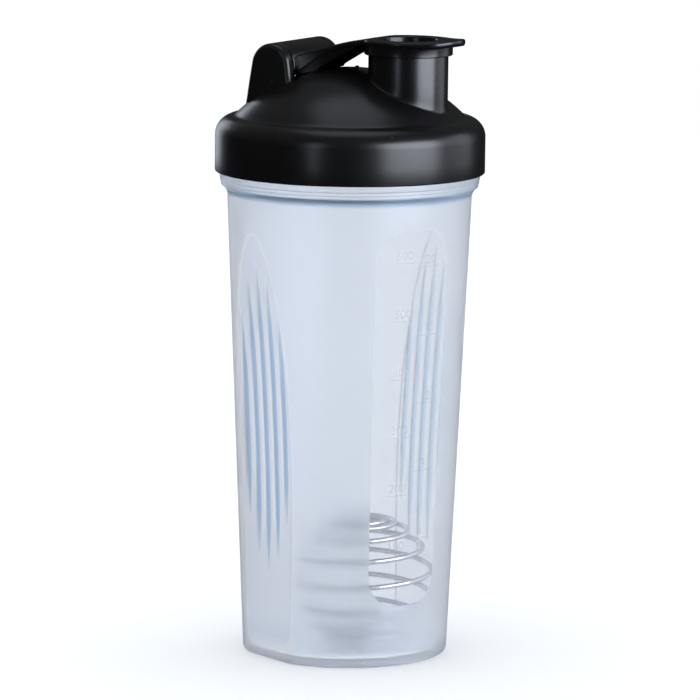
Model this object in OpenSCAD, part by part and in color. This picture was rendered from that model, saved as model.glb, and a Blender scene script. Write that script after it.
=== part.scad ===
// Protein shaker bottle: a moulded bottle, a screw lid with a spout, a flip cap and a loose wire ball.
// Millimetres. +Z is up, the origin is the centre of the bottle's foot, and the spout is towards +X.

/* [Bottle] */
// Radius of the wall at the foot
foot_r = 36.9; // [36:0.1:38]
// Radius of the wall just under the neck
shoulder_r = 43.9; // [43.5:0.1:44.1]
// Rounding of the foot's edge
foot_round = 1.2; // [0.8:0.1:2]
// Height of the tapered wall
wall_h = 165.4; // [164:0.1:166]
// Thickness of the wall
wall = 1.5; // [1.3:0.1:1.8]
// Thickness of the floor
floor_t = 2.6; // [2:0.1:3]
// Height of the neck's rim
neck_h = 190; // [189:0.1:190.2]
// Outer radius of the plain neck
neck_r = 44; // [43.8:0.1:44.1]
// Radius of the flange under the lid
flange_r = 46.7; // [46:0.1:47]

/* [Grip panels] */
// Direction of the front panel, from the spout
panel_angle = -113; // [-125:1:-100]
// Distance of the panel from the axis at the foot
panel_d = 34.15; // [33.5:0.05:35]
// Draft of the panel's flat lower part, in degrees
panel_draft = 1.49; // [1:0.01:2]
// Height where the panel starts to sweep outwards
panel_sweep_z = 50; // [40:1:60]
// Radius of the sweep
panel_sweep_r = 980; // [900:10:1100]

/* [Screw thread] */
// Rise of the thread in one turn
thread_lead = 9; // [8:0.5:10]
// Number of starts
thread_starts = 2; // [1:1:2]
// Turn covered by the lugs of one start
thread_turn = 270; // [180:30:270]
// Angle from one thread lug to the next
lug_pitch = 30; // [30:5:45]
// Angle covered by one thread lug
lug_angle = 22; // [18:1:24]
// Depth of the thread
thread_depth = 1.6; // [1.2:0.1:1.7]
// Height of the bottle thread's first point
thread_z = 178.2; // [177.8:0.1:178.6]

/* [Lid] */
// Outer radius of the lid's ring
lid_r = 48.5; // [48:0.1:49]
// Height of the ring's lower edge
lid_z = 174.2; // [174:0.1:174.5]
// Inner radius of the ring
lid_bore_r = 46.1; // [45.9:0.1:46.3]
// Height of the ring's top, where the dome starts
ring_top_z = 194.2; // [193.8:0.1:194.4]
// Rounding of the ring's shoulder
lid_round = 7; // [5:0.5:8]
// Radius of the crease between ring and dome
crease_r = 41.7; // [41:0.1:42.5]
// Radius of the domed top
dome_r = 58.4; // [57:0.1:60]
// Height of the dome's top
dome_z = 211.5; // [210.5:0.1:212]
// Thickness of the dome
dome_t = 1.9; // [1.6:0.1:2.2]

/* [Spout] */
// Distance of the spout from the bottle's axis
spout_x = 23.5; // [23:0.1:24]
// Outer radius of the spout
spout_r = 14.25; // [14:0.05:14.3]
// Inner radius of the spout
spout_bore_r = 12.45; // [12.4:0.05:12.6]
// Height of the spout's rim
spout_z = 219.6; // [219:0.1:220]

/* [Hinge] */
// Place of the hinge axis along X
hinge_x = -22.8; // [-23.2:0.1:-22.4]
// Height of the hinge axis
hinge_z = 212.2; // [212:0.1:212.6]
// Outer radius of the ears and of the knuckle's hood
ear_r = 7.9; // [7.8:0.1:8.2]
// Thickness of an ear
ear_t = 4; // [3.6:0.1:4.4]
// Distance of the ears' inner faces from the middle
ear_y = 15; // [14.9:0.1:15.2]
// Radius of the cap's trunnions
trunnion_r = 3; // [2.5:0.1:3.2]
// Radial clearance of the trunnions in their sockets
trunnion_gap = 0.06; // [0.02:0.01:0.1]

/* [Flip cap] */
// Height of the cap's flat top
cap_z = 223; // [222.5:0.1:223.5]
// Radius of the cap's disc
disc_r = 16.4; // [16:0.1:17]
// Thickness of the disc and of the arm's skin
skin_t = 1.8; // [1.5:0.1:2]
// Outer radius of the skirt round the spout
skirt_r = 15.8; // [15.7:0.1:16]
// Height of the skirt's lower edge
skirt_z = 217.5; // [217:0.1:218]
// Distance of the thumb tab's tip from the bottle's axis
tab_x = 44.6; // [43.5:0.1:45.5]
// How far the tab's tip curls up
tab_rise = 1.1; // [0:0.1:1.4]
// Radius of the recess in the cap's top
recess_r = 10.2; // [9:0.1:10.6]
// Height of the recess's floor
recess_z = 216.3; // [216:0.1:218]

/* [Wire ball] */
// Radius of the ball to the middle of its wire, level
ball_r = 25.6; // [25:0.1:26]
// Radius of the ball to the middle of its wire, upright
ball_half_h = 23.5; // [22:0.1:24]
// Radius of the wire
wire_r = 0.95; // [0.8:0.05:1.1]
// Turns from the top end of the wire to the bottom end
ball_turns = 8.8; // [8.6:0.1:9]
// Distance of the ball from the bottle's axis
ball_off = 6.1; // [5:0.1:7]

/* [Hidden] */
$fn = 96;

frosted = [0.80, 0.86, 0.93, 0.55];
black_pp = [0.06, 0.06, 0.07];
silicone = [0.82, 0.84, 0.86];
steel = [0.72, 0.73, 0.75];

taper = (shoulder_r - foot_r) / wall_h;
neck_bore_r = neck_r - 1.6;
flange_z = lid_z - 0.2;
seat_z = neck_h + 1.8;
plug_z = neck_h - 4;
dome_c = dome_z - dome_r;
dome_in = dome_r - dome_t;
ear_front = 9.8;
ear_back = 10.6;
ear_drop = 18.5;
socket_depth = 2.8;
knuckle_y = ear_y - 0.3;
knuckle_r = 4.4;
hood_back = 112;
arm_wall = 1.8;
arm_front = 13;
arm_x = -8;
arm_foot_z = hinge_z - 0.6;
dome_gap = 0.8;
plug_tip_z = spout_z - 4.8;
plug_tip_r = spout_bore_r - 1.05;
plug_full_r = spout_bore_r - 0.25;
above = 40;
tab_r = 13.5;
tab_start = 34;
half_pitch = thread_lead / thread_starts / 2;
ball_z = floor_t + ball_half_h * cos(22) + wire_r + 0.05;

// Points of an arc from angle a to angle b
function arc(cx, cy, r, a, b, n = 12) =
    [for (i = [0 : n]) [cx + r * cos(a + (b - a) * i / n), cy + r * sin(a + (b - a) * i / n)]];

// Radius of the bottle's wall at height z
function wall_r(z) = foot_r + taper * z;

// ---------- bottle ----------

module bottle_outside() {
    rotate_extrude()
        polygon(concat(
            [[0, 0], [foot_r - foot_round, 0]],
            arc(foot_r - foot_round, foot_round, foot_round, -80, 0, 6),
            [[shoulder_r, wall_h]],
            arc(shoulder_r + 2.2, wall_h + 0.9, 2.2, 180, 90, 6),
            [
                [flange_r - 0.5, wall_h + 3.1],
                [flange_r - 0.5, wall_h + 4.5],
                [flange_r - 0.2, wall_h + 4.7],
                [flange_r - 0.2, wall_h + 6],
                [flange_r, wall_h + 6.2],
                [flange_r, flange_z],
                [neck_r, flange_z],
                [neck_r, neck_h - 0.5],
                [neck_r - 0.5, neck_h],
                [0, neck_h]
            ]));
}

module bottle_inside() {
    inner_foot = wall_r(floor_t) - wall;
    rotate_extrude()
        polygon(concat(
            [[0, floor_t], [inner_foot - 3, floor_t]],
            arc(inner_foot - 3, floor_t + 3, 3, -80, 0, 6),
            [
                [neck_bore_r, wall_h],
                [neck_bore_r, neck_h + 1],
                [0, neck_h + 1]
            ]));
}

// The space outside the two grip panels, moved inwards by inset
module beyond_panels(inset) {
    bend_x = panel_d + panel_sweep_z * tan(panel_draft);
    for (side = [0, 180])
        rotate([0, 0, panel_angle + side])
            translate([bend_x, 0, panel_sweep_z])
                rotate([0, panel_draft, 0]) {
                    translate([-inset, -40, -panel_sweep_z - 5])
                        cube([60, 80, panel_sweep_z + 5]);
                    intersection() {
                        translate([panel_sweep_r, 0, 0])
                            rotate([90, 0, 0])
                                cylinder(r = panel_sweep_r + inset, h = 80, center = true, $fn = 720);
                        translate([-20, -40, -1])
                            cube([60, 80, wall_h - panel_sweep_z + 2]);
                    }
                }
}

// An interrupted thread: short level lugs that climb by the lead, with vent gaps between them
module thread(root, crest, z0) {
    lugs = floor(thread_turn / lug_pitch);
    for (start = [0 : thread_starts - 1], i = [0 : lugs - 1])
        translate([0, 0, z0 + thread_lead * lug_pitch / 360 * i])
            rotate([0, 0, 360 / thread_starts * start + lug_pitch * i])
                rotate_extrude(angle = lug_angle)
                    polygon([[root, -1], [crest, -0.5], [crest, 0.5], [root, 1]]);
}

module bottle() {
    color(frosted)
        union() {
            difference() {
                bottle_outside();
                beyond_panels(0);
                difference() {
                    bottle_inside();
                    beyond_panels(wall);
                }
            }
            thread(neck_r - 0.7, neck_r + thread_depth, thread_z);
        }
}

// ---------- lid ----------

module lid_shell() {
    crease_a = acos(crease_r / dome_r);
    plug_r = neck_bore_r - 0.5;
    plug_in = plug_r - 1.5;
    plug_a = acos(plug_in / dome_in);
    rotate_extrude()
        polygon(concat(
            [[lid_bore_r, lid_z], [lid_r - 0.3, lid_z], [lid_r, lid_z + 0.4]],
            arc(lid_r - lid_round, ring_top_z - lid_round, lid_round, 0, 85, 10),
            arc(0, dome_c, dome_r, crease_a, 90, 20),
            arc(0, dome_c, dome_in, 90, plug_a, 20),
            [
                [plug_in, plug_z],
                [plug_r - 0.4, plug_z],
                [plug_r, plug_z + 0.6],
                [plug_r, seat_z],
                [lid_bore_r, seat_z]
            ]));
}

// Side outline of an ear, wider towards the dome
module ear_outline() {
    union() {
        circle(r = ear_r);
        polygon([
            [-ear_r * cos(8), ear_r * sin(8)],
            [ear_r * cos(8), ear_r * sin(8)],
            [ear_front, -ear_drop],
            [-ear_back, -ear_drop]
        ]);
    }
}

module ears() {
    for (side = [-1, 1])
        difference() {
            translate([hinge_x, side * (ear_y + ear_t / 2), hinge_z])
                rotate([90, 0, 0])
                    linear_extrude(height = ear_t, center = true)
                        ear_outline();
            translate([0, 0, dome_c])
                sphere(r = dome_r - 1, $fn = 180);
            translate([hinge_x, side * (ear_y + 1.2), hinge_z])
                rotate([90, 0, 0])
                    cylinder(r = trunnion_r + trunnion_gap, h = 3.2, center = true);
        }
}

module lid() {
    color(black_pp)
        union() {
            difference() {
                union() {
                    lid_shell();
                    difference() {
                        translate([spout_x, 0, neck_h])
                            cylinder(r = spout_r, h = spout_z - neck_h);
                        translate([0, 0, dome_c])
                            sphere(r = dome_r - 1, $fn = 180);
                    }
                    ears();
                }
                translate([spout_x, 0, plug_z - 1])
                    cylinder(r = spout_bore_r, h = above);
            }
            thread(lid_bore_r + 0.7, lid_bore_r - thread_depth, thread_z - half_pitch);
        }
}

// ---------- seal ring ----------

module seal_ring() {
    color(silicone)
        translate([0, 0, neck_h + 0.3])
            difference() {
                cylinder(r = lid_bore_r - 0.3, h = 1.3);
                translate([0, 0, -1])
                    cylinder(r = neck_bore_r - 0.1, h = 4);
            }
}

// ---------- flip cap ----------

// Height of the cap's upper face along X: the arm rises from the hinge, the tab curls up
function top_z(x) =
    x < 12 ? cap_z - 7.5 * pow((12 - x) / 29, 1.33)
    : x < tab_start ? cap_z
    : cap_z + tab_rise * pow((x - tab_start) / (tab_x - tab_start), 2);

// Half width of the arm along X, narrowest over the middle of the lid
function arm_half(x) = 9.5 + (x < -2 ? 5.2 * pow((x + 2) / 20.8, 2) : 0.012 * pow(x + 2, 2));

// Slice of the arm from x0 to x1, its upper face depth under the skin's top
module arm_profile(x0, x1, depth, low) {
    steps = 18;
    rotate([90, 0, 0])
        linear_extrude(height = 60, center = true)
            polygon(concat(
                [for (i = [0 : steps]) let (x = x0 + (x1 - x0) * i / steps) [x, top_z(x) - depth]],
                low));
}

module arm_plan(inset, x0, x1) {
    steps = 14;
    xs = [for (i = [0 : steps]) x0 + (x1 - x0) * i / steps];
    translate([0, 0, neck_h])
        linear_extrude(height = above)
            polygon(concat(
                [for (x = xs) [x, arm_half(x) - inset]],
                [for (i = [steps : -1 : 0]) [xs[i], inset - arm_half(xs[i])]]));
}

// The walls' lower edges follow the dome, then climb to the skirt
module arm() {
    difference() {
        intersection() {
            arm_profile(hinge_x + 3, arm_front, 0, [
                [arm_front, cap_z - skin_t],
                [arm_front - 7, spout_z],
                [arm_x, arm_foot_z],
                [arm_x, neck_h],
                [hinge_x + 3, neck_h]
            ]);
            arm_plan(0, hinge_x + 3, arm_front);
        }
        intersection() {
            arm_profile(hinge_x + 6.5, arm_front + 0.5, skin_t + 0.2, [
                [arm_front + 0.5, hinge_z - 2],
                [arm_front - 3, neck_h],
                [hinge_x + 6.5, neck_h]
            ]);
            arm_plan(arm_wall, hinge_x + 6.5, arm_front + 0.5);
        }
        translate([0, 0, dome_c])
            sphere(r = dome_r + dome_gap, $fn = 180);
        translate([spout_x, 0, neck_h])
            cylinder(r = skirt_r - 1.3, h = cap_z - skin_t - neck_h);
    }
}

// Solid core on the axis, with a hood over its upper front
module knuckle() {
    translate([hinge_x, 0, hinge_z])
        rotate([90, 0, 0]) {
            cylinder(r = knuckle_r, h = 2 * knuckle_y, center = true);
            cylinder(r = trunnion_r, h = 2 * (knuckle_y + socket_depth), center = true);
            linear_extrude(height = 2 * knuckle_y, center = true)
                polygon(concat([[0, 0]], arc(0, 0, ear_r, -14, hood_back, 20)));
        }
}

// Disc and thumb tab in plan
module lip_plan() {
    tip = tab_x - tab_r;
    lean = acos((disc_r - tab_r) / (tip - spout_x));
    translate([0, 0, neck_h])
        linear_extrude(height = above) {
            translate([spout_x, 0])
                circle(r = disc_r);
            translate([tip, 0])
                circle(r = tab_r);
            polygon([
                [spout_x + disc_r * cos(lean), disc_r * sin(lean)],
                [tip + tab_r * cos(lean), tab_r * sin(lean)],
                [tip + tab_r * cos(lean), -tab_r * sin(lean)],
                [spout_x + disc_r * cos(lean), -disc_r * sin(lean)]
            ]);
        }
}

module lip() {
    steps = 24;
    x0 = spout_x - disc_r - 1;
    xs = [for (i = [0 : steps]) x0 + (tab_x + 1 - x0) * i / steps];
    intersection() {
        rotate([90, 0, 0])
            linear_extrude(height = 60, center = true)
                polygon(concat(
                    [for (x = xs) [x, top_z(min(x, tab_x))]],
                    [for (i = [steps : -1 : 0]) [xs[i], top_z(min(xs[i], tab_x)) - skin_t]]));
        lip_plan();
    }
}

// Skirt outside the spout's rim
module skirt() {
    skirt_in = skirt_r - 1.15;
    translate([spout_x, 0, 0])
        rotate_extrude()
            polygon([[skirt_in, skirt_z], [skirt_r, skirt_z], [skirt_r, cap_z - 1], [skirt_in, cap_z - 1]]);
}

// Tapered plug that closes the spout
module plug() {
    translate([spout_x, 0, 0])
        rotate_extrude()
            polygon([
                [0, plug_tip_z],
                [plug_tip_r, plug_tip_z],
                [plug_full_r, spout_z - 0.2],
                [plug_full_r, cap_z - 1],
                [0, cap_z - 1]
            ]);
}

module flip_cap() {
    color(black_pp)
        difference() {
            union() {
                arm();
                knuckle();
                lip();
                skirt();
                plug();
            }
            translate([spout_x, 0, recess_z])
                cylinder(r1 = recess_r - 0.4, r2 = recess_r, h = 10);
        }
}

// ---------- wire ball ----------

// Angle from the top of the ball after m turns, counted from its middle
function ball_polar(m) = 90 + 23.2 * m - 0.4 * pow(m, 3);

// A point of the wire's middle line
function ball_point(m) =
    let (p = ball_polar(m), a = 30 - 360 * (m + 0.4))
    [ball_r * sin(p) * cos(a), ball_r * sin(p) * sin(a), ball_half_h * cos(p)];

module wire_ball() {
    sides = 6;
    per_turn = 22;
    rings = floor(ball_turns * per_turn);
    line = [for (i = [0 : rings]) ball_point(ball_turns * (i / rings - 0.5))];
    function along(i) = line[min(rings, i + 1)] - line[max(0, i - 1)];
    points = [for (i = [0 : rings])
        let (t = along(i) / norm(along(i)), o = line[i] / norm(line[i]),
            u = o - t * (o * t), v = cross(t, u / norm(u)))
        for (k = [0 : sides - 1])
            line[i] + wire_r * (cos(360 / sides * k) * u / norm(u) + sin(360 / sides * k) * v)];
    sleeve = [for (i = [0 : rings - 1], k = [0 : sides - 1])
        [sides * i + k, sides * (i + 1) + k, sides * (i + 1) + (k + 1) % sides, sides * i + (k + 1) % sides]];
    first = [for (k = [0 : sides - 1]) k];
    last = [for (k = [sides - 1 : -1 : 0]) sides * rings + k];
    color(steel)
        translate([ball_off * cos(30), ball_off * sin(30), ball_z])
            polyhedron(points, concat(sleeve, [first, last]));
}

bottle();
lid();
seal_ring();
flip_cap();
wire_ball();
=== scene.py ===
"""A protein shaker bottle: moulded bottle, fluid scale, wire ball, seal ring, screw lid and flip cap."""

import bmesh
import bpy
from math import acos, atan2, cos, degrees, pi, radians, sin, sqrt
from mathutils import Matrix, Vector


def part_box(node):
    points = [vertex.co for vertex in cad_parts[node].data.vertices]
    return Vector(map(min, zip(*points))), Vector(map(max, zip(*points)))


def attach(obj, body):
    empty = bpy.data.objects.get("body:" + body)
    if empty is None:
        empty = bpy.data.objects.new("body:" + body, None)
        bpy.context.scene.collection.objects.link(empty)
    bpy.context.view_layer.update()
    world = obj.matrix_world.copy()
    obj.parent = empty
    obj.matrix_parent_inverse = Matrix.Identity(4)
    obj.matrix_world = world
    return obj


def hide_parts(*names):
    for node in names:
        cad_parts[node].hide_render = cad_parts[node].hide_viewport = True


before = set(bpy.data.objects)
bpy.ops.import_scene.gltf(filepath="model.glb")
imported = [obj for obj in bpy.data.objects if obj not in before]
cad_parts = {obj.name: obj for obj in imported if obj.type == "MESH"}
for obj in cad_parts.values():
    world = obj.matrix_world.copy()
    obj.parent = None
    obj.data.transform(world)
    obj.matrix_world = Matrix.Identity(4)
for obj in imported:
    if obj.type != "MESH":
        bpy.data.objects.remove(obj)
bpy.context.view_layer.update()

# ---------- The studio ----------
# Pale card under the bottle, a white room, and softboxes on the right, on the left, behind and overhead.
# Mirrored rays see a dimmer room than the eye does, as with black flags round a product table, so that
# black plastic stays black. What is seen through the bottle has the card glowing, as if lit from below.

camera_data = bpy.data.cameras.new("camera")
camera_data.lens = 257.14
camera_data.sensor_width = 36
camera_data.clip_end = 30
camera = bpy.data.objects.new("camera", camera_data)
bpy.context.scene.collection.objects.link(camera)
heading = Matrix.Rotation(radians(30), 4, "Z")
pitch = Matrix.Rotation(radians(81.09), 4, "X")
roll = Matrix.Rotation(radians(0.66), 4, "Z")
camera.matrix_world = Matrix.Translation((0.8920, -1.5434, 0.3886)) @ heading @ pitch @ roll
bpy.context.scene.camera = camera
bpy.context.scene.view_settings.view_transform = "Standard"


def mirror_only(tree):
    """A mask that is 1 for rays mirrored by a surface, and 0 for all others."""
    path = tree.nodes.new("ShaderNodeLightPath")
    passed = tree.nodes.new("ShaderNodeMath")
    passed.operation = "SUBTRACT"
    passed.use_clamp = True
    tree.links.new(path.outputs["Is Glossy Ray"], passed.inputs[0])
    tree.links.new(path.outputs["Is Transmission Ray"], passed.inputs[1])
    return passed.outputs[0]


room = bpy.data.worlds.new("white_room")
room.use_nodes = True
tree = room.node_tree
tree.nodes.clear()
seen = tree.nodes.new("ShaderNodeBackground")
seen.inputs["Color"].default_value = (0.97, 0.985, 1, 1)
seen.inputs["Strength"].default_value = 1.08
where = tree.nodes.new("ShaderNodeTexCoord")
upright = tree.nodes.new("ShaderNodeSeparateXYZ")
fade = tree.nodes.new("ShaderNodeMapRange")
fade.inputs["From Min"].default_value = 0.0
fade.inputs["From Max"].default_value = 0.9
fade.inputs["To Min"].default_value = 0.012
fade.inputs["To Max"].default_value = 0.15
mirrored = tree.nodes.new("ShaderNodeBackground")
mirrored.inputs["Color"].default_value = (0.94, 0.97, 1, 1)
choice = tree.nodes.new("ShaderNodeMixShader")
out = tree.nodes.new("ShaderNodeOutputWorld")
tree.links.new(where.outputs["Generated"], upright.inputs[0])
tree.links.new(upright.outputs["Z"], fade.inputs["Value"])
tree.links.new(fade.outputs["Result"], mirrored.inputs["Strength"])
tree.links.new(mirror_only(tree), choice.inputs[0])
tree.links.new(seen.outputs[0], choice.inputs[1])
tree.links.new(mirrored.outputs[0], choice.inputs[2])
tree.links.new(choice.outputs[0], out.inputs["Surface"])
bpy.context.scene.world = room

card = bmesh.new()
bmesh.ops.create_grid(card, x_segments=4, y_segments=4, size=7)
bmesh.ops.translate(card, verts=card.verts, vec=(0, 0, -0.0003))
floor_mesh = bpy.data.meshes.new("floor")
card.to_mesh(floor_mesh)
card.free()
floor = bpy.data.objects.new("floor", floor_mesh)
bpy.context.scene.collection.objects.link(floor)
pale = bpy.data.materials.new("pale_card")
pale.use_nodes = True
tree = pale.node_tree
tree.nodes.clear()
card_face = tree.nodes.new("ShaderNodeBsdfDiffuse")
card_face.inputs["Color"].default_value = (0.96, 0.965, 0.97, 1)
card_flagged = tree.nodes.new("ShaderNodeBsdfDiffuse")
card_flagged.inputs["Color"].default_value = (0.02, 0.02, 0.022, 1)
card_lit = tree.nodes.new("ShaderNodeEmission")
card_lit.inputs["Color"].default_value = (0.95, 0.97, 1.0, 1)
through = tree.nodes.new("ShaderNodeLightPath")
choice = tree.nodes.new("ShaderNodeMixShader")
glow = tree.nodes.new("ShaderNodeMixShader")
out = tree.nodes.new("ShaderNodeOutputMaterial")
tree.links.new(mirror_only(tree), choice.inputs[0])
tree.links.new(card_face.outputs[0], choice.inputs[1])
tree.links.new(card_flagged.outputs[0], choice.inputs[2])
tree.links.new(through.outputs["Is Transmission Ray"], glow.inputs[0])
tree.links.new(choice.outputs[0], glow.inputs[1])
tree.links.new(card_lit.outputs[0], glow.inputs[2])
tree.links.new(glow.outputs[0], out.inputs["Surface"])
floor_mesh.materials.append(pale)


CAMERA_SIDE = -60
LID_MIDDLE = Vector((0, 0, 0.17))


def softbox(name, side, distance, height, wide, tall, power, gloss_only=True):
    """A rectangular light at an angle round from the camera, aimed at the lid, seen in gloss and glass."""
    lamp = bpy.data.lights.new(name, "AREA")
    lamp.shape = "RECTANGLE"
    lamp.size = wide
    lamp.size_y = tall
    lamp.energy = power
    lamp.color = (0.84, 0.89, 1)
    box = bpy.data.objects.new(name, lamp)
    bpy.context.scene.collection.objects.link(box)
    around = radians(CAMERA_SIDE + side)
    place = Vector((distance * cos(around), distance * sin(around), height))
    aim = place - LID_MIDDLE
    box.matrix_world = Matrix.Translation(place) @ aim.to_track_quat("Z", "Y").to_matrix().to_4x4()
    box.visible_camera = False
    box.visible_diffuse = not gloss_only


softbox("key_softbox", side=53.5, distance=1.3, height=0.36, wide=1.25, tall=1.0, power=34.6)
softbox("far_softbox", side=106, distance=1.3, height=0.36, wide=0.8, tall=1.0, power=4.2)
softbox("edge_softbox", side=-30, distance=1.3, height=0.35, wide=0.14, tall=1.0, power=1.4)
softbox("rim_softbox", side=-152, distance=1.3, height=0.25, wide=0.5, tall=0.8, power=2.2)
softbox("top_softbox", side=180, distance=0.1, height=1.4, wide=0.8, tall=0.8, power=1.8, gloss_only=False)

# ---------- The bottle ----------
# One injection moulding in natural polypropylene, frosted by a textured mould, with a polished window over
# the fluid scale. Its sides have two flat grips with sunk grooves, and its neck has a two-start thread.

MM = 0.001
rim_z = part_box("bottle")[1].z / MM
FOOT_R = 36.9
SHOULDER_R = 43.9
WALL_H = 165.4
WALL_T = 1.5
FLOOR_T = 2.6
NECK_R = 44.0
NECK_BORE_R = 42.4
FLANGE_R = 46.7
FLANGE_Z = 174.0
FOOT_ROUND = 1.2
GRIP_ANGLE = radians(-113)
GRIP_FOOT_D, GRIP_DRAFT = 34.15, 0.026
SWEEP_Z, SWEEP_R = 50, 1040
GRIP_BORDER, BORDER_STEP, FIELD_STEP = 1.5, 0.06, 0.36
GROOVE_PITCH, GROOVE_HALF_W, GROOVE_DEPTH = 5.6, 2.0, 0.85
GROOVE_TOP, GROOVE_TIP = 145.5, 29.4
WINDOW_ANGLE = radians(-26.5)
THREAD_Z, THREAD_LEAD, THREAD_TURN = 178.2, 9, 270


def arc(x, y, r, start, end, steps):
    """Points on an arc, angles in degrees."""
    angles = [radians(start + (end - start) * i / steps) for i in range(steps + 1)]
    return [(x + r * cos(a), y + r * sin(a)) for a in angles]


def lathe(outline, steps, closed=True):
    """A solid or skin of revolution: an outline of (radius, height) spun once round the upright axis."""
    bm = bmesh.new()
    verts = [bm.verts.new((r, 0, z)) for r, z in outline]
    pairs = list(zip(verts, verts[1:])) + ([(verts[-1], verts[0])] if closed else [])
    edges = [bm.edges.new(pair) for pair in pairs]
    bmesh.ops.spin(bm, geom=verts + edges, cent=(0, 0, 0), axis=(0, 0, 1), angle=2 * pi,
                   steps=steps, use_merge=True)
    bmesh.ops.remove_doubles(bm, verts=bm.verts, dist=1e-4)
    bmesh.ops.recalc_face_normals(bm, faces=bm.faces)
    return bm


def helix(root, crest, base, start, steps=90):
    """One start of a screw thread, whose ends run out into the wall."""
    bm = bmesh.new()
    section = [(root, -1.15), (crest, -0.45), (crest, 0.45), (root, 1.15)]
    verts = [bm.verts.new((r, 0, z)) for r, z in section]
    edges = [bm.edges.new(pair) for pair in zip(verts, verts[1:] + verts[:1])]
    rise = THREAD_LEAD * THREAD_TURN / 360 / steps
    bmesh.ops.spin(bm, geom=verts + edges, cent=(0, 0, 0), axis=(0, 0, 1), dvec=(0, 0, rise),
                   angle=radians(THREAD_TURN), steps=steps)
    bmesh.ops.holes_fill(bm, edges=[e for e in bm.edges if e.is_boundary], sides=0)
    for v in bm.verts:
        along = (atan2(v.co.y, v.co.x) % (2 * pi)) / radians(THREAD_TURN)
        ends = min(1, along / 0.06 if along < 1.02 else 0, max(0, 1 - along) / 0.06)
        r = Vector((v.co.x, v.co.y)).length
        scale = (root + (r - root) * ends) / r
        v.co.x, v.co.y = v.co.x * scale, v.co.y * scale
    bmesh.ops.recalc_face_normals(bm, faces=bm.faces)
    bmesh.ops.rotate(bm, verts=bm.verts, cent=(0, 0, 0), matrix=Matrix.Rotation(radians(start), 3, "Z"))
    bmesh.ops.translate(bm, verts=bm.verts, vec=(0, 0, base))
    return bm


def add_to(bm, other):
    """Puts another mesh into bm as a separate shell of the same moulding."""
    mesh = bpy.data.meshes.new("shell")
    other.to_mesh(mesh)
    other.free()
    bm.from_mesh(mesh)
    bpy.data.meshes.remove(mesh)


def finish_piece(name, bm, body, node, materials, sharp=38):
    """Makes the piece's object from a mesh in millimetres, smooth but for edges over the sharp angle."""
    for face in bm.faces:
        face.smooth = True
    for edge in bm.edges:
        edge.smooth = edge.calc_face_angle(0) < radians(sharp)
    bmesh.ops.scale(bm, verts=bm.verts, vec=(MM, MM, MM))
    mesh = bpy.data.meshes.new(name)
    bm.to_mesh(mesh)
    bm.free()
    for material in materials:
        mesh.materials.append(material)
    piece = bpy.data.objects.new(name, mesh)
    bpy.context.scene.collection.objects.link(piece)
    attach(piece, body)
    if node:
        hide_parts(node)


def wall_r(z):
    """Outer radius of the tapered wall."""
    return FOOT_R + (SHOULDER_R - FOOT_R) * z / WALL_H


def grip_d(z):
    """Distance of a grip's flat from the bottle's axis, sweeping out above its lower third."""
    return GRIP_FOOT_D + GRIP_DRAFT * z + max(0, z - SWEEP_Z) ** 2 / (2 * SWEEP_R)


def ease(x):
    """0 below 0, 1 above 1, and a smooth step between."""
    x = min(1, max(0, x))
    return x * x * (3 - 2 * x)


def groove_depth(t, z):
    """How deep a grip's sunk field and its five pointed grooves lie at (t, z) on the flat."""
    half = sqrt(max(0, wall_r(z) ** 2 - grip_d(z) ** 2))
    corner, low, soft = 6, 5, 0.6
    lift = max(0, low + corner - z)
    inset = half - GRIP_BORDER - corner + sqrt(max(0, corner ** 2 - lift ** 2))
    field = BORDER_STEP + FIELD_STEP * ease((inset - abs(t)) / soft + 0.5) * ease((z - low) / soft)
    number = max(-2, min(2, round(t / GROOVE_PITCH)))
    top = GROOVE_TOP - 4.6 * abs(number) ** 1.9
    tip = GROOVE_TIP + 5.0 * abs(number) ** 1.9
    point = min(1, max(0, top - z) / 26, max(0, z - tip) / 20)
    reach = GROOVE_HALF_W * point ** 0.6
    if reach <= 0.05:
        return field
    across = min(1, abs(t - GROOVE_PITCH * number) / reach)
    return field + GROOVE_DEPTH * point ** 0.4 * ease(1.5 * (1 - across))


def press_grips(bm, inset):
    """Flattens two grips into a wall. On its outside, sinks their grooves and keeps the depth as "grip"."""
    sunk = bm.verts.layers.float.new("grip")
    soft, grip_mid_r, widest = 0.3, 40, radians(34)
    for side in (0, pi):
        normal = Vector((cos(GRIP_ANGLE + side), sin(GRIP_ANGLE + side), 0))
        across = Vector((-normal.y, normal.x, 0))
        for v in bm.verts:
            r, z = Vector((v.co.x, v.co.y)).length, v.co.z
            depth, flat = v.co.dot(normal), grip_d(z) - inset
            if z > WALL_H or depth < r * cos(widest):
                continue
            # Over the middle of the flat the columns of points run parallel, as the grooves do.
            turn = atan2(v.co.dot(across), depth)
            even = 1 - ease((abs(turn) - radians(20)) / radians(12)) if z > 1 and r > 30 else 0
            t = r * sin(turn) * (1 - even) + grip_mid_r * sin(turn) * even
            depth = sqrt(r * r - t * t)
            if depth > flat - soft:
                near = max(0, soft - abs(depth - flat)) / soft
                beyond = depth > flat
                depth = min(depth, flat) - near * near * soft / 4
                if inset == 0 and beyond and z > 1.5:
                    v[sunk] = groove_depth(t, z)
                    depth -= v[sunk]
            v.co = normal * depth + across * t + Vector((0, 0, z))


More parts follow.
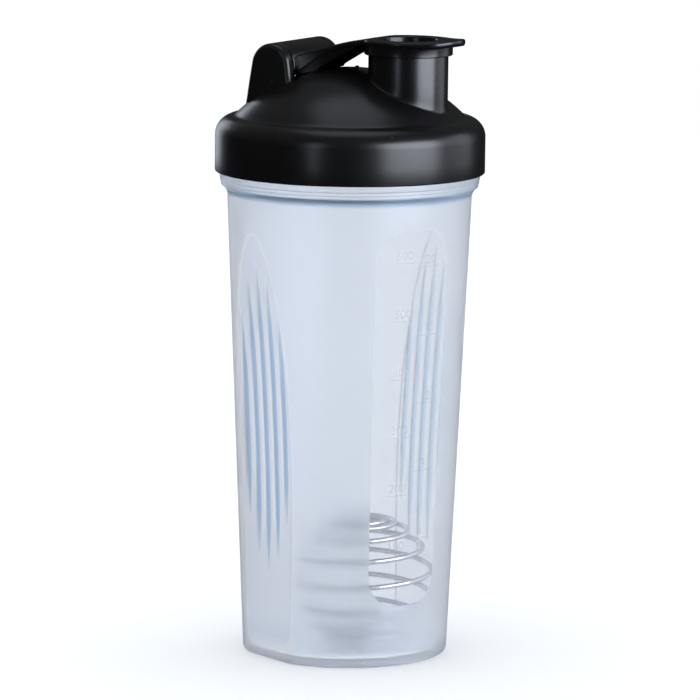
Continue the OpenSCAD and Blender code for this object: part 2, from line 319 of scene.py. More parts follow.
wall_rings, inner_rings = 94, 24
ring_gap = (WALL_H - FOOT_ROUND) / wall_rings
outside = [(0.01, 0.7), (27, 0.7)] + arc(28, 0.7, 0.7, 180, 270, 3) + [(31, 0)]
outside += arc(FOOT_R - FOOT_ROUND, FOOT_ROUND, FOOT_ROUND, -90, 0, 6)
for i in range(1, wall_rings + 1):
    ring_z = FOOT_ROUND + ring_gap * i
    outside.append((wall_r(ring_z), ring_z))
outside += arc(SHOULDER_R + 4.6, WALL_H, 4.6, 178, 122, 9)
ledges = ((FLANGE_R - 0.5, 4.0, 5.1), (FLANGE_R - 0.2, 5.1, 6.4), (FLANGE_R, 6.4, 8.6))
for ledge_r, ledge_low, ledge_high in ledges:
    outside += arc(ledge_r - 0.2, WALL_H + ledge_low + 0.2, 0.2, -80, 0, 3)
    outside += arc(ledge_r - 0.2, WALL_H + ledge_high - 0.25, 0.2, 0, 80, 3)
outside += [(NECK_R + 0.6, FLANGE_Z)] + arc(NECK_R + 0.6, FLANGE_Z + 0.6, 0.6, -90, -180, 3)
outside += [(NECK_R, rim_z - 0.7)] + arc(NECK_R - 0.6, rim_z - 0.6, 0.6, 0, 90, 4)
outside += [(NECK_BORE_R + 0.5, rim_z)]
inner_foot = wall_r(FLOOR_T) - WALL_T
narrower, drop = (inner_foot - NECK_BORE_R) / inner_rings, (FLOOR_T + 3 - WALL_H) / inner_rings
inside = arc(NECK_BORE_R + 0.5, rim_z - 0.5, 0.5, 90, 180, 4)
inside += [(NECK_BORE_R + narrower * i, WALL_H + drop * i) for i in range(inner_rings + 1)]
inside += arc(inner_foot - 3, FLOOR_T + 3, 3, -10, -90, 6) + [(20, FLOOR_T), (0.01, FLOOR_T)]

wall_steps = 512
shell = lathe(outside, wall_steps, closed=False)
press_grips(shell, 0)
core = lathe(inside, wall_steps, closed=False)
press_grips(core, WALL_T)
for face in core.faces:
    face.material_index = 1
add_to(shell, core)
bmesh.ops.remove_doubles(shell, verts=shell.verts, dist=0.02)
bmesh.ops.recalc_face_normals(shell, faces=shell.faces)
for start in (0, 180):
    add_to(shell, helix(NECK_R - 0.3, NECK_R + 1.6, THREAD_Z, start))


def moulded_skin():
    """The group that moulded parts share: a fine mould texture, slow flow tones and a few dust specks."""
    group = bpy.data.node_groups.new("moulded_skin", "ShaderNodeTree")
    for name, value in (("Grain", 1500.0), ("Flow", 25.0), ("Dust", 0.5)):
        socket = group.interface.new_socket(name, in_out="INPUT", socket_type="NodeSocketFloat")
        socket.default_value = value
    for name in ("Height", "Tone", "Specks"):
        group.interface.new_socket(name, in_out="OUTPUT", socket_type="NodeSocketFloat")
    nodes, links = group.nodes, group.links
    given, result = nodes.new("NodeGroupInput"), nodes.new("NodeGroupOutput")
    place = nodes.new("ShaderNodeTexCoord")
    grain, flow = nodes.new("ShaderNodeTexNoise"), nodes.new("ShaderNodeTexNoise")
    grain.inputs["Detail"].default_value = 3
    flow.inputs["Detail"].default_value = 4
    dust = nodes.new("ShaderNodeTexVoronoi")
    dust.inputs["Scale"].default_value = 140
    size = nodes.new("ShaderNodeMapRange")
    size.inputs["From Min"].default_value = 0.035
    size.inputs["From Max"].default_value = 0.02
    rare = nodes.new("ShaderNodeMath")
    rare.operation = "GREATER_THAN"
    rare.inputs[1].default_value = 0.86
    kept, amount = nodes.new("ShaderNodeMath"), nodes.new("ShaderNodeMath")
    kept.operation = amount.operation = "MULTIPLY"
    tint = nodes.new("ShaderNodeSeparateColor")
    for texture in (grain, flow, dust):
        links.new(place.outputs["Object"], texture.inputs["Vector"])
    links.new(given.outputs["Grain"], grain.inputs["Scale"])
    links.new(given.outputs["Flow"], flow.inputs["Scale"])
    links.new(dust.outputs["Distance"], size.inputs["Value"])
    links.new(dust.outputs["Color"], tint.inputs[0])
    links.new(tint.outputs["Red"], rare.inputs[0])
    links.new(size.outputs["Result"], kept.inputs[0])
    links.new(rare.outputs[0], kept.inputs[1])
    links.new(kept.outputs[0], amount.inputs[0])
    links.new(given.outputs["Dust"], amount.inputs[1])
    links.new(grain.outputs["Fac"], result.inputs["Height"])
    links.new(flow.outputs["Fac"], result.inputs["Tone"])
    links.new(amount.outputs[0], result.inputs["Specks"])
    return group


skin = moulded_skin()


def new_material(name):
    """A material, its node tree and its shader."""
    material = bpy.data.materials.new(name)
    material.use_nodes = True
    return material, material.node_tree, material.node_tree.nodes["Principled BSDF"]


def skin_in(tree, grain=1500, flow=25, dust=0.5):
    """The moulded skin, placed in a material with its own values."""
    texture = tree.nodes.new("ShaderNodeGroup")
    texture.node_tree = skin
    for name, value in (("Grain", grain), ("Flow", flow), ("Dust", dust)):
        texture.inputs[name].default_value = value
    return texture


def ranged(tree, value, low, high, start=0.0, end=1.0):
    """Value, remapped from low..high to start..end."""
    node = tree.nodes.new("ShaderNodeMapRange")
    node.inputs["From Min"].default_value = low
    node.inputs["From Max"].default_value = high
    node.inputs["To Min"].default_value = start
    node.inputs["To Max"].default_value = end
    tree.links.new(value, node.inputs["Value"])
    return node.outputs["Result"]


def combined(tree, operation, first, second):
    """A Math node on two sockets or numbers."""
    node = tree.nodes.new("ShaderNodeMath")
    node.operation = operation
    for socket, value in zip(node.inputs, (first, second)):
        if isinstance(value, (int, float)):
            socket.default_value = value
        else:
            tree.links.new(value, socket)
    return node.outputs[0]


def blended(tree, mask, first, second):
    """Two colours mixed by a mask."""
    node = tree.nodes.new("ShaderNodeMix")
    node.data_type = "RGBA"
    tree.links.new(mask, node.inputs["Factor"])
    for socket, value in ((node.inputs["A"], first), (node.inputs["B"], second)):
        if isinstance(value, tuple):
            socket.default_value = (*value, 1)
        else:
            tree.links.new(value, socket)
    return node.outputs["Result"]


def relief(tree, height, strength, distance):
    """A Bump node's normal for a height."""
    node = tree.nodes.new("ShaderNodeBump")
    node.inputs["Strength"].default_value = strength
    node.inputs["Distance"].default_value = distance
    tree.links.new(height, node.inputs["Height"])
    return node.outputs["Normal"]


def past(tree, offset, reach):
    """How far an offset goes past a reach on either side, and 0 within it."""
    size = combined(tree, "ABSOLUTE", offset, 0)
    return combined(tree, "MAXIMUM", combined(tree, "SUBTRACT", size, reach), 0)


def scale_window(tree):
    """1 inside the polished window over the fluid scale, a tall field with round corners, and 0 outside."""
    corner, half_w, half_h, middle, edge = 11 * MM, 14.9 * MM, 67.8 * MM, 89.6 * MM, 0.15 * MM
    wall = 40.5 * MM
    place = tree.nodes.new("ShaderNodeTexCoord")
    split = tree.nodes.new("ShaderNodeSeparateXYZ")
    tree.links.new(place.outputs["Object"], split.inputs[0])
    angle = combined(tree, "ARCTAN2", split.outputs["Y"], split.outputs["X"])
    aside = combined(tree, "MULTIPLY", combined(tree, "SUBTRACT", angle, WINDOW_ANGLE), wall)
    over_x = past(tree, aside, half_w - corner)
    over_z = past(tree, combined(tree, "SUBTRACT", split.outputs["Z"], middle), half_h - corner)
    square_x = combined(tree, "MULTIPLY", over_x, over_x)
    square_z = combined(tree, "MULTIPLY", over_z, over_z)
    from_corner = combined(tree, "SQRT", combined(tree, "ADD", square_x, square_z), 0)
    return ranged(tree, from_corner, corner + edge, corner - edge)


def natural_pp(name, polished):
    """Natural polypropylene: milky and a little blue, frosted outside, polished within, its colour carrying
    painted light and shade.
    """
    material, tree, shader = new_material(name)
    shader.inputs["IOR"].default_value = 1.42
    shader.inputs["Transmission Weight"].default_value = 0.92
    texture = skin_in(tree, grain=2200, flow=18, dust=0.4)
    flow = texture.outputs["Tone"]
    body_tone = blended(tree, flow, (0.82, 0.852, 0.90), (0.86, 0.882, 0.925))
    place = tree.nodes.new("ShaderNodeTexCoord")
    split = tree.nodes.new("ShaderNodeSeparateXYZ")
    tree.links.new(place.outputs["Object"], split.inputs[0])
    # Painted light: the colour turns a little paler and bluer towards the foot, lifting the shade where the
    # bottle stands.
    foot = ranged(tree, split.outputs["Z"], 14 * MM, 2 * MM)
    body_tone = blended(tree, foot, body_tone, (0.84, 0.88, 0.945))
    if polished:
        tree.links.new(ranged(tree, flow, 0.3, 0.7, 0.05, 0.09), shader.inputs["Roughness"])
        tree.links.new(body_tone, shader.inputs["Base Color"])
        return material
    # The band under the flange, where the wall turns to face downward, is painted a deeper blue as painted
    # shade.
    above = ranged(tree, split.outputs["Z"], (WALL_H + 0.8) * MM, (WALL_H + 1.4) * MM)
    below = ranged(tree, split.outputs["Z"], (WALL_H + 5.0) * MM, (WALL_H + 3.6) * MM)
    body_tone = blended(tree, combined(tree, "MULTIPLY", above, below), body_tone, (0.54, 0.73, 0.95))
    window = scale_window(tree)
    grip = tree.nodes.new("ShaderNodeAttribute")
    grip.attribute_name = "grip"
    depth = grip.outputs["Fac"]
    frosted = ranged(tree, flow, 0.3, 0.7, 0.42, 0.48)
    field = ranged(tree, depth, 0.12, 0.34)
    # Painted highlight: a white line is painted along the narrow border round each grip's sunk field.
    painted_border_highlight = combined(tree, "SUBTRACT", ranged(tree, depth, 0.01, 0.05), field)
    body_tone = blended(tree, combined(tree, "MAXIMUM", painted_border_highlight, 0), body_tone, (1.0, 1.0, 1.0))
    finer = combined(tree, "SUBTRACT", frosted, combined(tree, "MULTIPLY", field, 0.1))
    shine = tree.nodes.new("ShaderNodeMix")
    tree.links.new(window, shine.inputs["Factor"])
    tree.links.new(finer, shine.inputs["A"])
    shine.inputs["B"].default_value = 0.06
    tree.links.new(shine.outputs["Result"], shader.inputs["Roughness"])
    # Painted highlight: a white line is painted just inside the edges of each groove.
    groove_edge_highlight = combined(tree, "MULTIPLY", ranged(tree, depth, 0.43, 0.55), ranged(tree, depth, 0.8, 0.65))
    body_tone = blended(tree, groove_edge_highlight, body_tone, (1.0, 1.0, 1.0))
    # Painted shade: the deepest parts of the grooves are painted a dark blue.
    groove_shade_tone = blended(tree, ranged(tree, depth, 0.7, 1.15), body_tone, (0.36, 0.55, 0.80))
    clear_tone = blended(tree, window, groove_shade_tone, (0.97, 0.985, 1.0))
    dust_and_painted_tone = blended(tree, texture.outputs["Specks"], clear_tone, (0.35, 0.4, 0.5))
    tree.links.new(dust_and_painted_tone, shader.inputs["Base Color"])
    even = combined(tree, "SUBTRACT", texture.outputs["Height"], 0.5)
    frost = combined(tree, "MULTIPLY", even, combined(tree, "SUBTRACT", 1.0, window))
    tree.links.new(relief(tree, frost, 0.12, 0.05 * MM), shader.inputs["Normal"])
    return material


frosted_pp = natural_pp("frosted_pp", polished=False)
polished_pp = natural_pp("polished_pp", polished=True)
skins = [frosted_pp, polished_pp]
finish_piece("moulded_bottle", shell, "bottle", "bottle", skins, sharp=66)

# ---------- The fluid scale ----------
# Figures and lines that stand a little proud of the window, moulded with the bottle in the same plastic:
# millilitres on one side and ounces on the other.


def wrap_on_wall(bm, angle, height):
    """Lays a flat mesh, x along the wall and z outwards, on the wall at an angle and height."""
    for v in bm.verts:
        z = height + v.co.y
        turn = angle + v.co.x / wall_r(z)
        r = wall_r(z) + 0.01 + v.co.z
        v.co = Vector((r * cos(turn), r * sin(turn), z))


def raised_figure(text, size, depth):
    """Plain figures as a mesh, centred on x with their foot at y 0."""
    curve = bpy.data.curves.new("figure", "FONT")
    curve.body = text
    curve.size = size
    curve.align_x = "CENTER"
    curve.extrude = depth / 2
    curve.resolution_u = 4
    holder = bpy.data.objects.new("figure", curve)
    mesh = holder.to_mesh()
    bm = bmesh.new()
    bm.from_mesh(mesh)
    holder.to_mesh_clear()
    bpy.data.objects.remove(holder)
    bpy.data.curves.remove(curve)
    bmesh.ops.translate(bm, verts=bm.verts, vec=(0, 0, depth / 2))
    bmesh.ops.remove_doubles(bm, verts=bm.verts, dist=1e-4)
    return bm


def raised_line(length, width, depth):
    """A bar along x, cut into short lengths so that it can follow the wall."""
    bm = bmesh.new()
    bmesh.ops.create_cube(bm, size=1)
    bmesh.ops.scale(bm, verts=bm.verts, vec=(length, width, depth))
    long_edges = [e for e in bm.edges if abs(e.verts[0].co.x - e.verts[1].co.x) > length / 2]
    bmesh.ops.subdivide_edges(bm, edges=long_edges, cuts=11)
    bmesh.ops.translate(bm, verts=bm.verts, vec=(0, 0, depth / 2))
    return bm


marks = bmesh.new()
ML_ANGLE, OZ_ANGLE = radians(-32.8), radians(-17.7)
MARK_DEPTH = 0.12
# Each line's figure and its height on the wall.
ml_lines = [(100 * i, 21 * i + 20.4 - 0.02 * (i - 3) ** 2) for i in range(1, 7)]
oz_lines = [(4 * i, 24.6 * i + 21.5) for i in range(1, 6)]
for column, lines in ((ML_ANGLE, ml_lines), (OZ_ANGLE, oz_lines)):
    for figure, height in lines:
        line = raised_line(length=8, width=0.26, depth=MARK_DEPTH)
        wrap_on_wall(line, column, height)
        add_to(marks, line)
        digits = raised_figure(str(figure), size=4.6, depth=MARK_DEPTH)
        wrap_on_wall(digits, column, height + 1.1)
        add_to(marks, digits)
bmesh.ops.recalc_face_normals(marks, faces=marks.faces)
figure_pp, tree, shader = new_material("figure_pp")
shader.inputs["IOR"].default_value = 1.12
shader.inputs["Alpha"].default_value = 0.18
shader.inputs["Transmission Weight"].default_value = 0.95
texture = skin_in(tree)
flow = texture.outputs["Tone"]
tree.links.new(blended(tree, flow, (0.86, 0.89, 0.94), (0.92, 0.94, 0.97)), shader.inputs["Base Color"])
tree.links.new(ranged(tree, flow, 0.3, 0.7, 0.25, 0.35), shader.inputs["Roughness"])
finish_piece("fluid_scale", marks, "bottle", None, [figure_pp], sharp=30)

# ---------- The wire ball ----------
# One length of bright stainless spring wire, wound into an open ball with its ends tucked in. It lies loose
# on the bottle's floor and breaks up the powder when the bottle is shaken.

WIRE_R = 0.95
BALL_R, BALL_HALF_H = 25.6, 23.5
BALL_TURNS = 8.8
BALL_OFF, BALL_SIDE = 6.1, radians(30)
BALL_SEAT = FLOOR_T + BALL_HALF_H * cos(radians(22)) + WIRE_R + 0.05
POINTS_A_TURN = 40


def wire_point(m):
    """The wire's middle line m turns from the ball's widest turn. Its turns close up towards the ends."""
    tuck = 1 - 0.1 * ease((abs(m) - 4.1) / 0.3)
    polar = radians(90 + 23.2 * m - 0.4 * m ** 3)
    around = radians(30 - 360 * (m + 0.4))
    flat_r = BALL_R * sin(polar) * tuck
    return Vector((flat_r * cos(around), flat_r * sin(around), BALL_HALF_H * cos(polar)))


wire_steps = int(BALL_TURNS * POINTS_A_TURN)
line = [wire_point(BALL_TURNS * (i / wire_steps - 0.5)) for i in range(wire_steps + 1)]
ball_centre = Vector((BALL_OFF * cos(BALL_SIDE), BALL_OFF * sin(BALL_SIDE), BALL_SEAT))
route = bpy.data.curves.new("wire_route", "CURVE")
route.dimensions = "3D"
route.bevel_depth = WIRE_R
route.bevel_resolution = 4
route.use_fill_caps = True
spline = route.splines.new("POLY")
spline.points.add(len(line) - 1)
for point, place in zip(spline.points, line):
    point.co = (*(place + ball_centre), 1)
for i, share in enumerate((0.5, 0.9)):
    spline.points[i].radius = share
    spline.points[-1 - i].radius = share
holder = bpy.data.objects.new("wire_route", route)
wire_mesh = holder.to_mesh()
wire = bmesh.new()
wire.from_mesh(wire_mesh)
holder.to_mesh_clear()
bpy.data.objects.remove(holder)
bmesh.ops.remove_doubles(wire, verts=wire.verts, dist=1e-3)
bmesh.ops.recalc_face_normals(wire, faces=wire.faces)

steel, tree, shader = new_material("stainless_wire")
shader.inputs["Metallic"].default_value = 1.0
place = tree.nodes.new("ShaderNodeTexCoord")
polish = tree.nodes.new("ShaderNodeTexNoise")
polish.inputs["Scale"].default_value = 700
polish.inputs["Detail"].default_value = 4
tree.links.new(place.outputs["Object"], polish.inputs["Vector"])
tree.links.new(ranged(tree, polish.outputs["Fac"], 0.3, 0.7, 0.12, 0.24), shader.inputs["Roughness"])
wire_tone = blended(tree, polish.outputs["Fac"], (0.43, 0.45, 0.49), (0.55, 0.56, 0.59))
tree.links.new(wire_tone, shader.inputs["Base Color"])
tree.links.new(relief(tree, polish.outputs["Fac"], 0.1, 0.02 * MM), shader.inputs["Normal"])
finish_piece("wire_ball_coil", wire, "ball", "wire_ball", [steel])

# ---------- The seal ring ----------
# A flat ring moulded in natural silicone, with two beads along each face, pressed into the lid's groove
# above the bottle's rim, where its own stretch holds it.

ring_low, ring_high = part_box("seal_ring")
seal_r, seal_in = ring_high.x / MM, NECK_BORE_R - 0.1
seal_foot, seal_top = ring_low.z / MM, ring_high.z / MM
bead, bead_in, corner = 0.22, 1.2, 0.3
half_t = (seal_top - seal_foot) / 2 - bead
seal_mid = (seal_foot + seal_top) / 2
upper = arc(seal_in + corner, half_t - corner, corner, 180, 90, 3)
upper += arc(seal_in + bead_in, half_t, bead, 180, 0, 6)
upper += arc(seal_r - bead_in, half_t, bead, 180, 0, 6)
upper += arc(seal_r - corner, half_t - corner, corner, 90, 0, 3)
lower = [(r, -z) for r, z in reversed(upper)]
seal = lathe([(r, seal_mid + z) for r, z in upper + lower], 128)

silicone, tree, shader = new_material("silicone")
shader.inputs["Subsurface Weight"].default_value = 0.3
shader.inputs["Subsurface Scale"].default_value = 0.002
texture = skin_in(tree)
flow = texture.outputs["Tone"]
tree.links.new(blended(tree, flow, (0.72, 0.75, 0.78), (0.80, 0.82, 0.84)), shader.inputs["Base Color"])
tree.links.new(ranged(tree, flow, 0.3, 0.7, 0.38, 0.5), shader.inputs["Roughness"])
tree.links.new(relief(tree, texture.outputs["Height"], 0.1, 0.05 * MM), shader.inputs["Normal"])
finish_piece("silicone_seal_ring", seal, "seal", "seal_ring", [silicone])

# ---------- The lid ----------
# Black polypropylene, moulded in one: a deep screw ring, a dome with the drinking spout, two hinge ears,
# and a plug ring that goes into the bottle's neck. A small gate mark is left on top of the dome.

LID_R, LID_Z = 48.5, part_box("lid")[0].z / MM
LID_BORE_R = 46.1
LID_ROUND = 7
RING_TOP = 194.2
DOME_R, DOME_Z, DOME_T = 58.4, 211.5, 1.9
DOME_C = DOME_Z - DOME_R
SEAT_Z = rim_z + 1.8
SPOUT_X, SPOUT_R, SPOUT_BORE_R = 23.5, 14.25, 12.45
SPOUT_Z = 219.6
HINGE_X, HINGE_Z = -22.8, 212.2
EAR_R, EAR_Y, EAR_T = 7.9, 15.0, 4.0


def dome_height(x, y, radius):
    """Height of a sphere about the dome's centre above a point."""
    return DOME_C + sqrt(max(1, radius ** 2 - x * x - y * y))


crease_r = 42.3
plug_r = NECK_BORE_R - 0.5
plug_in = plug_r - 1.5
dome_in = DOME_R - DOME_T
lid_line = [(LID_BORE_R, LID_Z)] + arc(LID_R - 0.5, LID_Z + 0.5, 0.5, -80, 0, 4)
lid_line += [(LID_R, LID_Z + 6)] + arc(LID_R - LID_ROUND, RING_TOP - LID_ROUND, LID_ROUND, 0, 82, 14)
dome_start = degrees(acos((crease_r - 1.1) / DOME_R))
lid_line += arc(crease_r, RING_TOP + 0.3, 0.55, 250, 290, 3)[::-1]
lid_line += arc(0, DOME_C, DOME_R, dome_start, 89.9, 40)
lid_line += arc(0, DOME_C, dome_in, 89.9, degrees(acos(plug_in / dome_in)), 30)
plug_foot = rim_z - 4
lid_line += [(plug_in, plug_foot + 0.3), (plug_in + 0.3, plug_foot)]
lid_line += [(plug_r - 0.4, plug_foot), (plug_r, plug_foot + 0.6)]
lid_line += [(plug_r, SEAT_Z - 0.4), (plug_r + 0.4, SEAT_Z)]
lid_line += [(LID_BORE_R - 0.4, SEAT_Z), (LID_BORE_R, SEAT_Z - 0.4)]
lid_body = lathe(lid_line, 256)

shell_mesh = bpy.data.meshes.new("lid_shell")
lid_body.to_mesh(shell_mesh)
lid_body.free()
cutter = bmesh.new()
cut_r, cut_depth = 13.2, 60
bmesh.ops.create_cone(cutter, cap_ends=True, segments=96, radius1=cut_r, radius2=cut_r, depth=cut_depth)
bmesh.ops.translate(cutter, verts=cutter.verts, vec=(SPOUT_X, 0, 205))
cutter_mesh = bpy.data.meshes.new("bore_cutter")
cutter.to_mesh(cutter_mesh)
cutter.free()
shell_object = bpy.data.objects.new("lid_shell", shell_mesh)
cutter_object = bpy.data.objects.new("bore_cutter", cutter_mesh)
for helper in (shell_object, cutter_object):
    bpy.context.scene.collection.objects.link(helper)
cut = shell_object.modifiers.new("bore", "BOOLEAN")
cut.object = cutter_object
cut.operation = "DIFFERENCE"
cut.solver = "EXACT"
depsgraph = bpy.context.evaluated_depsgraph_get()
lid_body = bmesh.new()
lid_body.from_mesh(shell_object.evaluated_get(depsgraph).to_mesh())
bpy.data.objects.remove(shell_object)
bpy.data.objects.remove(cutter_object)

# The spout is a turned tube that grows out of the dome. Its outline's heights near 0 are counted from the
# dome's outer face, those near UNDER_DOME from its inner face, and the other three stand for places that
# the loop works out.
UNDER_DOME, IN_DOME, OVER_DOME, UNDER_RIM = -50, -40, 40, 50
flare = 0.9
spout_line = [(r, z - 0.05) for r, z in arc(SPOUT_R + flare, flare, flare, -90, -180, 5)]
spout_line += [(SPOUT_R, OVER_DOME)] + arc(SPOUT_R - 0.5, SPOUT_Z - 0.5, 0.5, 0, 90, 3)
spout_line += arc(SPOUT_BORE_R + 0.5, SPOUT_Z - 0.5, 0.5, 90, 180, 3)
spout_line += [(SPOUT_BORE_R, UNDER_RIM), (SPOUT_BORE_R, UNDER_DOME), (13.1, UNDER_DOME - 1)]
spout_line += [(13.1, UNDER_DOME + 0.1), (14.6, IN_DOME)]
spout = lathe(spout_line, 120)
for v in spout.verts:
    x, y, z = v.co.x + SPOUT_X, v.co.y, v.co.z
    dome = dome_height(x, y, DOME_R)
    if z < UNDER_DOME + 5:
        z = dome_height(x, y, dome_in) - 0.35 + 0.35 * max(0, z - UNDER_DOME)
    elif z < IN_DOME + 10:
        z = dome - 1.2
    elif z < 10:
        z = dome + z
    elif z < OVER_DOME + 1:
        z = dome + 3
    elif z < UNDER_RIM + 1:
        z = SPOUT_Z - 3
    v.co = Vector((x, y, z))
add_to(lid_body, spout)


def ear(side):
    """A hinge ear: a rounded tongue that stands on the dome, broader towards its foot."""
    bm = bmesh.new()
    waist, foot = -5, -18.5
    outline = arc(0, 0, EAR_R, 8, 172, 20) + [(-8.9, waist), (-10.6, foot), (9.8, foot), (8.5, waist)]
    verts = [bm.verts.new((HINGE_X + x, 0, HINGE_Z + z)) for x, z in outline]
    face = bm.faces.new(verts)
    out_face = bmesh.ops.extrude_face_region(bm, geom=[face])
    moved = [g for g in out_face["geom"] if isinstance(g, bmesh.types.BMVert)]
    bmesh.ops.translate(bm, verts=moved, vec=(0, EAR_T, 0))
    bmesh.ops.recalc_face_normals(bm, faces=bm.faces)
    far = [e for e in bm.edges if all(abs(v.co.y - EAR_T) < 1e-4 for v in e.verts)]
    bmesh.ops.bevel(bm, geom=far, offset=1.9, offset_type="OFFSET", affect="EDGES", segments=6,
                    profile=0.5, material=-1, clamp_overlap=True)
    near = [e for e in bm.edges if all(abs(v.co.y) < 1e-4 for v in e.verts)]
    bmesh.ops.bevel(bm, geom=near, offset=0.35, offset_type="OFFSET", affect="EDGES", segments=2,
                    profile=0.5, material=-1, clamp_overlap=True)
    bmesh.ops.translate(bm, verts=bm.verts, vec=(0, EAR_Y, 0))
    if side < 0:
        bmesh.ops.scale(bm, verts=bm.verts, vec=(1, -1, 1))
    for v in bm.verts:
        floor_z = dome_height(v.co.x, v.co.y, DOME_R) - 1
        if v.co.z < floor_z:
            v.co.z = floor_z
    bmesh.ops.recalc_face_normals(bm, faces=bm.faces)
    return bm


for side in (-1, 1):
    add_to(lid_body, ear(side))
for start in (0, 180):
    add_to(lid_body, helix(LID_BORE_R + 0.3, LID_BORE_R - 1.6, THREAD_Z - THREAD_LEAD / 4, start))
gate_line = [(0.01, -0.3), (0.9, -0.3), (0.75, 0.55), (0.45, 0.8), (0.01, 0.85)]
gate = lathe([(r, DOME_Z + z) for r, z in gate_line], 16)
gate_x = 2.5
bmesh.ops.translate(gate, verts=gate.verts, vec=(gate_x, 0, 0))
add_to(lid_body, gate)


def black_pp(name, low, high):
    """Satin black polypropylene with a fine mould texture, slightly polished and dusted by use."""
    material, tree, shader = new_material(name)
    shader.inputs["IOR"].default_value = 1.49
    texture = skin_in(tree, grain=1700, flow=30)
    flow = texture.outputs["Tone"]
    plain = blended(tree, flow, (0.0010, 0.0010, 0.0012), (0.0022, 0.0022, 0.0026))
    dusty = blended(tree, texture.outputs["Specks"], plain, (0.32, 0.33, 0.35))
    tree.links.new(dusty, shader.inputs["Base Color"])
    tree.links.new(ranged(tree, flow, 0.3, 0.7, low, high), shader.inputs["Roughness"])
    tree.links.new(relief(tree, texture.outputs["Height"], 0.22, 0.06 * MM), shader.inputs["Normal"])
    return material


finish_piece("screw_lid", lid_body, "lid", "lid", [black_pp("black_lid_pp", 0.25, 0.31)])

# ---------- The flip cap ----------
# Black polypropylene, moulded in one and snapped between the lid's ears by two short trunnions: a hooded
# hinge barrel, an arm that bridges the dome, and a disc with a skirt, a plug and a thumb tab.

CAP_Z = 223.0
DISC_R, SKIN_T = 16.4, 1.8
SKIRT_R, SKIRT_Z = 15.8, 217.5
TAB_R, TAB_RISE, TAB_START = 13.5, 1.05, 34
TAB_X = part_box("flip_cap")[1].x / MM
FALL_X, FALL_RUN, FALL_H = 12, 29, 7.5
WAIST_X, WAIST_HALF = -2, 9.5


def top_z(x):
    """Height of the cap's upper face along x: it falls towards the hinge and curls up at the tab."""
    if x < FALL_X:
        return CAP_Z - FALL_H * ((FALL_X - x) / FALL_RUN) ** 1.33
    return CAP_Z + TAB_RISE * max(0, (x - TAB_START) / (TAB_X - TAB_START)) ** 2


def lip_reach(angle):
    """Reach of the disc and its tab from the spout's axis: two circles joined by their tangents."""
    gap = TAB_X - TAB_R - SPOUT_X
    lean = acos((DISC_R - TAB_R) / gap)
    angle = abs(angle)
    contact = atan2(TAB_R * sin(lean), gap + TAB_R * cos(lean))
    if angle > lean:
        return DISC_R
    if angle > contact:
        return DISC_R / cos(angle - lean)
    return gap * cos(angle) + sqrt(TAB_R ** 2 - (gap * sin(angle)) ** 2)


recess_r, recess_z = 10.2, 216.3
plug_tip_r, plug_tip_z, cap_plug_r = 11.4, 214.8, 12.2
skirt_in, under_z, edge_r = SKIRT_R - 1.15, CAP_Z - SKIN_T, DISC_R - 0.9
lip_line = [(0.01, recess_z), (recess_r - 1, recess_z)] + arc(recess_r - 1, recess_z + 0.6, 0.6, -90, -6, 4)
lip_line += arc(recess_r + 0.6, CAP_Z - 0.6, 0.6, 180, 90, 5) + [(12.5, CAP_Z), (14.5, CAP_Z)]
lip_line += arc(edge_r, CAP_Z - 0.9, 0.9, 90, 0, 6) + arc(edge_r, under_z + 0.9, 0.9, 0, -60, 4)
lip_line += arc(SKIRT_R + 0.2, under_z - 0.2, 0.2, 90, 180, 2)
lip_line += [(SKIRT_R, SKIRT_Z + 0.3), (SKIRT_R - 0.3, SKIRT_Z), (SKIRT_R - 0.9, SKIRT_Z)]
lip_line += [(skirt_in, SKIRT_Z + 0.3), (skirt_in, under_z - 0.3)]
lip_line += [(cap_plug_r + 0.3, under_z - 0.3), (cap_plug_r, under_z - 0.6), (cap_plug_r, SPOUT_Z - 0.2)]
lip_line += [(plug_tip_r, plug_tip_z + 0.4), (plug_tip_r - 0.4, plug_tip_z), (0.01, plug_tip_z)]
cap = lathe(lip_line, 180)
for v in cap.verts:
    r = sqrt(v.co.x ** 2 + v.co.y ** 2)
    outer = ease((r - 13.5) / 2.0) if v.co.z > CAP_Z - 0.1 else float(r > SKIRT_R + 0.1)
    if v.co.z > under_z - 0.1 and outer > 0:
        reach = lip_reach(atan2(v.co.y, v.co.x)) - DISC_R
        stretch = 1 + outer * reach / r
        v.co.x, v.co.y = v.co.x * stretch, v.co.y * stretch
    v.co.x += SPOUT_X
    if v.co.z > under_z - 0.1 and r > recess_r + 0.5:
        underside = v.co.z < CAP_Z - 0.95
        v.co.z += top_z(v.co.x) - CAP_Z
        if underside and v.co.x > SPOUT_X + 8 and r > SKIRT_R + 0.1:
            v.co.z -= 0.7 * ease((v.co.x - SPOUT_X - 8) / 0.3)


def arm_half(x):
    """Half width of the arm, narrowest over the middle of the lid."""
    spread = 5.2 / 20.8 ** 2 if x < WAIST_X else 0.012
    return WAIST_HALF + spread * (x - WAIST_X) ** 2


def band_h(x):
    """Height of the proud band along the arm's upper edge."""
    return 1.8 + 4.7 * max(0, (WAIST_X - x) / 15) ** 1.4


def arm_foot(x):
    """Height of the lower edge of the arm's walls: it follows the dome, then climbs to the skirt."""
    dome = dome_height(x, arm_half(x) - 1, DOME_R + 0.5)
    if x < -8:
        return dome
    climb = 211.6 + 8.0 * (x + 8) / 14
    return max(dome, climb)


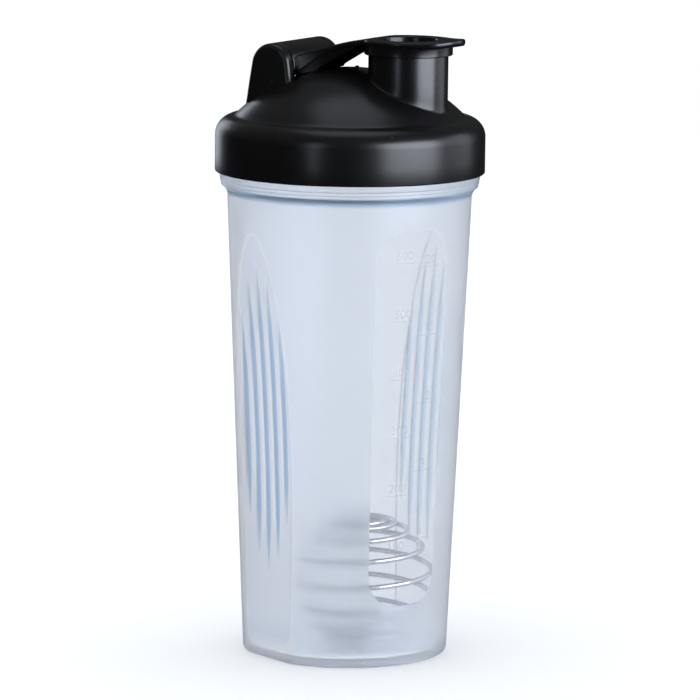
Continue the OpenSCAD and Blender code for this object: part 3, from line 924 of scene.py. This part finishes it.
def arm_section(x):
    """Half of the arm's section at x, as (y, z) from the middle of its top round to the middle beneath."""
    top, half = top_z(x) - 0.02, arm_half(x)
    foot = min(max(arm_foot(x), dome_height(x, half, DOME_R + 0.4)), top - SKIN_T - 0.1)
    band = max(top - band_h(x), foot + 0.05)
    under = top - SKIN_T - 0.2
    step = max(foot + 0.2, min(band - 0.3, foot + 4))
    points = [(0, top), (half * 0.5, top)] + arc(half - 0.8, top - 0.8, 0.8, 90, 0, 3)
    points += [(half, min(top - 0.85, band + 0.1)), (half - 0.4, band), (half - 0.45, step)]
    points += [(half - 0.55, foot), (half - 1.6, foot), (half - 1.8, min(foot + 0.3, under))]
    return points + [(half - 1.8, under), (0, under)]


arm = bmesh.new()
arm_start, arm_end, stations = HINGE_X + 1.5, 13.5, 44
rows = []
for i in range(stations + 1):
    x = arm_start + (arm_end - arm_start) * i / stations
    half_section = arm_section(x)
    ring = half_section + [(-y, z) for y, z in reversed(half_section[1:-1])]
    verts = [arm.verts.new((x, y, z)) for y, z in ring]
    rows.append([arm.edges.new(pair) for pair in zip(verts, verts[1:] + verts[:1])])
for first, second in zip(rows, rows[1:]):
    bmesh.ops.bridge_loops(arm, edges=first + second)
bmesh.ops.holes_fill(arm, edges=[e for e in arm.edges if e.is_boundary], sides=0)
bmesh.ops.recalc_face_normals(arm, faces=arm.faces)
add_to(cap, arm)

barrel_half = EAR_Y - 0.3
hood_front, hood_back, core_r = -14, 112, 4.4
barrel = bmesh.new()
outline = arc(0, 0, EAR_R, hood_front, hood_back, 28)
outline += arc(0, 0, core_r, hood_back + 6, 360 + hood_front - 6, 20)
verts = [barrel.verts.new((HINGE_X + x, -barrel_half, HINGE_Z + z)) for x, z in outline]
side_face = barrel.faces.new(verts)
grown = bmesh.ops.extrude_face_region(barrel, geom=[side_face])
bmesh.ops.translate(barrel, verts=[g for g in grown["geom"] if isinstance(g, bmesh.types.BMVert)],
                    vec=(0, 2 * barrel_half, 0))
ends = [e for e in barrel.edges if abs(e.verts[0].co.y - e.verts[1].co.y) < 1e-4]
bmesh.ops.bevel(barrel, geom=ends, offset=0.5, offset_type="OFFSET", affect="EDGES", segments=3,
                profile=0.5, material=-1, clamp_overlap=True)
bmesh.ops.recalc_face_normals(barrel, faces=barrel.faces)
add_to(cap, barrel)

trunnion_r, trunnion_end, edge = 3.0, barrel_half + 2.8, 0.4
pin_line = [(0.01, -trunnion_end)] + arc(trunnion_r - edge, edge - trunnion_end, edge, -90, 0, 3)
pin_line += arc(trunnion_r - edge, trunnion_end - edge, edge, 0, 90, 3) + [(0.01, trunnion_end)]
pin = lathe(pin_line, 48)
bmesh.ops.rotate(pin, verts=pin.verts, cent=(0, 0, 0), matrix=Matrix.Rotation(radians(90), 3, "X"))
bmesh.ops.translate(pin, verts=pin.verts, vec=(HINGE_X, 0, HINGE_Z))
bmesh.ops.recalc_face_normals(pin, faces=pin.faces)
add_to(cap, pin)
cap_skin = black_pp("black_cap_pp", 0.23, 0.29)
finish_piece("flip_cap_with_plug", cap, "cap", "flip_cap", [cap_skin])
